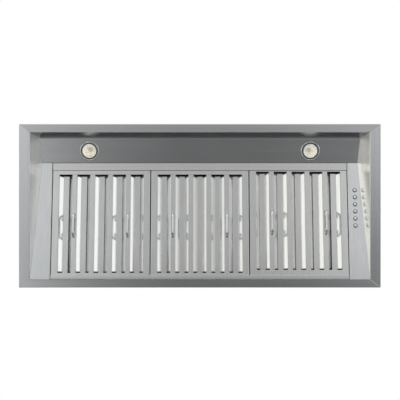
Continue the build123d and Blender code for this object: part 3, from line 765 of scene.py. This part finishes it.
def bent_wire():
    """Handle of one wire: turned-in ends, splayed legs and a straight grip."""
    line = bpy.data.curves.new("handle_line", "CURVE")
    line.dimensions = "3D"
    line.bevel_depth = wire_radius * mm
    line.bevel_resolution = 4
    line.use_fill_caps = True
    points = rounded(wire_path, wire_bend)
    spline = line.splines.new("POLY")
    spline.points.add(len(points) - 1)
    for knot, (along, up) in zip(spline.points, points):
        knot.co = (0, along * mm, up * mm, 1)
        knot.radius = 1 + (grip_swell - 1) * min(1, max(0, -up / swell_run))
    wire = bpy.data.objects.new("handle_pattern", line)
    bpy.context.scene.collection.objects.link(wire)
    choose(wire)
    bpy.ops.object.convert(target="MESH")
    edit(wire)
    bpy.ops.mesh.remove_doubles(threshold=weld)
    bpy.ops.mesh.normals_make_consistent(inside=False)
    close_edit()
    smooth_shade(wire, wire_edge)
    return wire


def make_handles():
    """A bent wire at the joint of each filter handle."""
    wire = bent_wire()
    finish = polished("handle_wire", wire_tone, 0.12)
    for joint in frame["joints"]:
        name = joint["name"]
        if "bail" in name:
            place = Matrix.Translation(joint["pos_m"]) @ slope_turn
            piece = copied(wire, name.replace("bail", "wire_handle"), place)
            coat(piece, finish)
            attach(piece, name)
            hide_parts(name.replace("bail", "handle"))
    discard(wire)


# ------------------------------------------------------------------ filter frames
filter_count = 3
return_half_span = 120.3    # from the filter's middle to the face of each return
return_sheet = 0.8
return_foot = 3.6           # heights above the filter's face line
return_top = 10.7
return_run = (32.9, 313.7)  # along the slope
return_bevel = 0.3
return_edge = 40
slope_origin = Vector((0, -121.9, 50.9)) * mm   # upper end of the filters' face line


def make_frame_returns():
    """Edge of the frame beside the outer slots, folded up as the bars' edges are."""
    unselect()
    bpy.ops.mesh.primitive_cube_add(size=mm)
    strip = bpy.context.object
    strip.scale = (return_sheet, return_run[1] - return_run[0], return_top - return_foot)
    bpy.ops.object.transform_apply(scale=True)
    edit(strip)
    bpy.ops.mesh.bevel(offset=return_bevel * mm, segments=3, affect="EDGES")
    close_edit()
    smooth_shade(strip, return_edge)
    first_front = corners(nodes["filter_1_frame"])[:, Y].min()
    slope = Matrix.Translation(slope_origin) @ slope_turn
    height = (return_foot + return_top) / 2 * mm
    for number in range(1, filter_count + 1):
        box = corners(nodes[f"filter_{number}_frame"])
        shift = (box[:, Y].min() - first_front) / slope_along.y
        along = sum(return_run) / 2 * mm + shift
        for side, way in (("left", -1), ("right", 1)):
            across = middle(box).x + way * (return_half_span + return_sheet / 2) * mm
            place = slope @ Matrix.Translation((across, along, height))
            piece = copied(strip, f"filter_{number}_frame_return_{side}", place)
            coat(piece, bpy.data.materials["filter_grain"])
            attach(piece, f"filter_{number}_cartridge")
    discard(strip)


# ------------------------------------------------------------------ screws
screw_head_height = 2.6
screw_profile = [
    (0.3, -9.0), (1.9, -7.0), (2.0, -6.5), (2.0, 0), (4.0, 0), (4.0, 0.8), (3.75, 1.5), (3.0, 2.15),
    (1.8, 2.5), (0.3, 2.6),
]
screw_sides = 20
screw_edge = 40
screw_tone = (0.55, 0.55, 0.54)
recess_width = 0.9
recess_reach = 2.1
recess_depth = 1.5


def make_recess():
    """Plus-shaped block that the driver's recess is cut with."""
    unselect()
    top = screw_head_height * mm
    bpy.ops.mesh.primitive_cube_add(size=recess_width * mm, location=(0, 0, top))
    block = bpy.context.object
    bpy.ops.object.transform_apply(location=True)
    edit(block)
    taller = 2 * recess_depth / recess_width
    bpy.ops.transform.resize(value=(1, 1, taller), center_override=(0, 0, top))
    bpy.ops.mesh.select_mode(type="FACE")
    bpy.ops.mesh.select_all(action="DESELECT")
    for axis in (X, Y):
        for way in (-1, 1):
            close_edit()
            for face in block.data.polygons:
                outward = face.normal[axis] * way > 0.9
                face.select = outward and abs(face.center[1 - axis]) < recess_width / 4 * mm
            bpy.ops.object.mode_set(mode="EDIT")
            step = [0, 0, 0]
            step[axis] = way * (recess_reach - recess_width / 2) * mm
            bpy.ops.mesh.extrude_region_move(TRANSFORM_OT_translate={"value": step})
            bpy.ops.mesh.select_all(action="DESELECT")
    bpy.ops.mesh.select_all(action="SELECT")
    bpy.ops.mesh.normals_make_consistent(inside=False)
    bpy.ops.mesh.select_mode(type="VERT")
    close_edit()
    return block


def make_screw():
    """Screw about Z, seated at 0, with the driver's recess cut into its head."""
    screw = turned("screw_pattern", screw_profile, screw_sides)
    recess = make_recess()
    cut = screw.modifiers.new("recess", "BOOLEAN")
    cut.operation = "DIFFERENCE"
    cut.object = recess
    choose(screw)
    bpy.ops.object.modifier_apply(modifier=cut.name)
    discard(recess)
    smooth_shade(screw, screw_edge)
    return screw


def screw_place(points):
    """Place of one CAD screw: its seat, and the way its head looks."""
    size = points.max(0) - points.min(0)
    axis = int(size.argmax())
    up = Vector((0, 0, 0))
    centre = middle(points)
    up[axis] = 1 if centre[axis] > 0 else -1
    head = centre + up * (size[axis] / 2 - screw_head_height * mm)
    return axes_at(head, up)


def make_screws():
    """Pan-head screws at the places of the CAD screws, joined to one piece as those are."""
    screw = make_screw()
    parts = loose_parts("housing_screws")
    places = [screw_place(corners(part)) for part in parts]
    copies = [copied(screw, "housing_screw", place) for place in places]
    for part in parts + [screw]:
        discard(part)
    unselect()
    for piece in copies:
        piece.select_set(True)
    bpy.context.view_layer.objects.active = copies[0]
    bpy.ops.object.join()
    row = bpy.context.object
    row.name = "pan_head_screws"
    coat(row, polished("zinc_plate", screw_tone, 0.3))
    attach(row, "hood")
    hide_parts("housing_screws")


# ------------------------------------------------------------------ CAD pieces
# The rim's rails are one steel: the front rail's darker tone is painted shade, and the back and side
# rails' lighter tones are lit copies of it.
front_rail_painted_shade_tone = (0.545, 0.553, 0.560)
back_rail_tone = (0.665, 0.675, 0.685)
side_rail_tone = (0.650, 0.662, 0.675)
panel_tone = (0.70, 0.70, 0.70)
strip_tone = (0.675, 0.675, 0.665)
left_panel_tone = (0.715, 0.725, 0.735)
lamp_panel_tone = (0.622, 0.625, 0.635)
end_panel_tone = (0.785, 0.795, 0.805)
filter_tone = (0.70, 0.705, 0.70)
# The two walls are one polished steel: the left wall's grey tone is painted shade and the right wall's
# bright cream tone is painted light.
left_wall_shaded_tone = (0.83, 0.83, 0.81)
right_wall_lit_tone = (0.97, 0.965, 0.93)
zinc_tone = (0.50, 0.51, 0.525)
motor_tone = (0.05, 0.05, 0.055)
driver_tone = (0.80, 0.80, 0.79)
control_tone = (0.06, 0.06, 0.06)
ceramic_tone = (0.80, 0.78, 0.73)
deep_grain = 0.035 * mm             # depths of the ground finish
panel_grain = 0.014 * mm
lamp_panel_grain = 0.012 * mm
fine_grain = 0.010 * mm
wall_grain = (0.006 * mm, 0.005 * mm)
filter_relief = 0.005 * mm


def rail(name, along, tone, depth):
    """Finish of a rim rail, with its ground mitres and a painted highlight on the one at the right end
    near the wall.
    """
    return brushed(name, along, tone, 0.20, depth, waves=rail_waves, mitres=True)


def dress_frame():
    """Gives each CAD piece that still shows the first finish that its name begins with."""
    side_rails = rail("side_rail_grain", Y, side_rail_tone, fine_grain)
    panels = brushed("panel_grain_along_x", X, panel_tone, 0.24, panel_grain)
    by_start = [
        ("filter_", brushed("filter_grain", Y, filter_tone, 0.125, filter_relief, metal=0.92)),
        ("rim_front", rail("front_rail_grain_painted_shade", X, front_rail_painted_shade_tone, deep_grain)),
        ("rim_back", rail("back_rail_grain", X, back_rail_tone, deep_grain)),
        ("rim_", side_rails),
        ("front_wall", panels),
        ("left_wall", brushed("left_wall_polish_shaded", Y, left_wall_shaded_tone, 0.30, wall_grain[0], hair=0.02)),
        ("right_wall", brushed("right_wall_polish_lit", Y, right_wall_lit_tone, 0.24, wall_grain[1], hair=0.02)),
        ("lamp_panel", brushed("lamp_panel_grain", X, lamp_panel_tone, 0.22, lamp_panel_grain)),
        ("left_panel", brushed("left_panel_grain", Y, left_panel_tone, 0.22, fine_grain)),
        ("control_panel", brushed("end_panel_grain", Y, end_panel_tone, 0.22, fine_grain)),
        ("holder_strip", brushed("holder_strip_grain", X, strip_tone, 0.24, panel_grain)),
        ("rear_lip", panels),
        ("blower_motor", moulded("motor_enamel", motor_tone, 0.4)),
        ("lamp_driver", moulded("driver_case", driver_tone, 0.45)),
        ("control_box", moulded("control_case", control_tone, 0.5)),
        ("lamp_sockets", moulded("socket_ceramic", ceramic_tone, 0.7)),
        ("", galvanised("galvanised_sheet", zinc_tone)),
    ]
    for name, node in nodes.items():
        if node.hide_render:
            continue
        coat(node, next(finish for start, finish in by_start if name.startswith(start)))


# ------------------------------------------------------------------ everything in order
make_camera()
make_world()
make_floor()
make_card()
make_lights()
make_lamps()
make_buttons()
make_screws()
make_handles()
dress_frame()
make_frame_returns()

bpy.context.scene.view_settings.view_transform = "Standard"
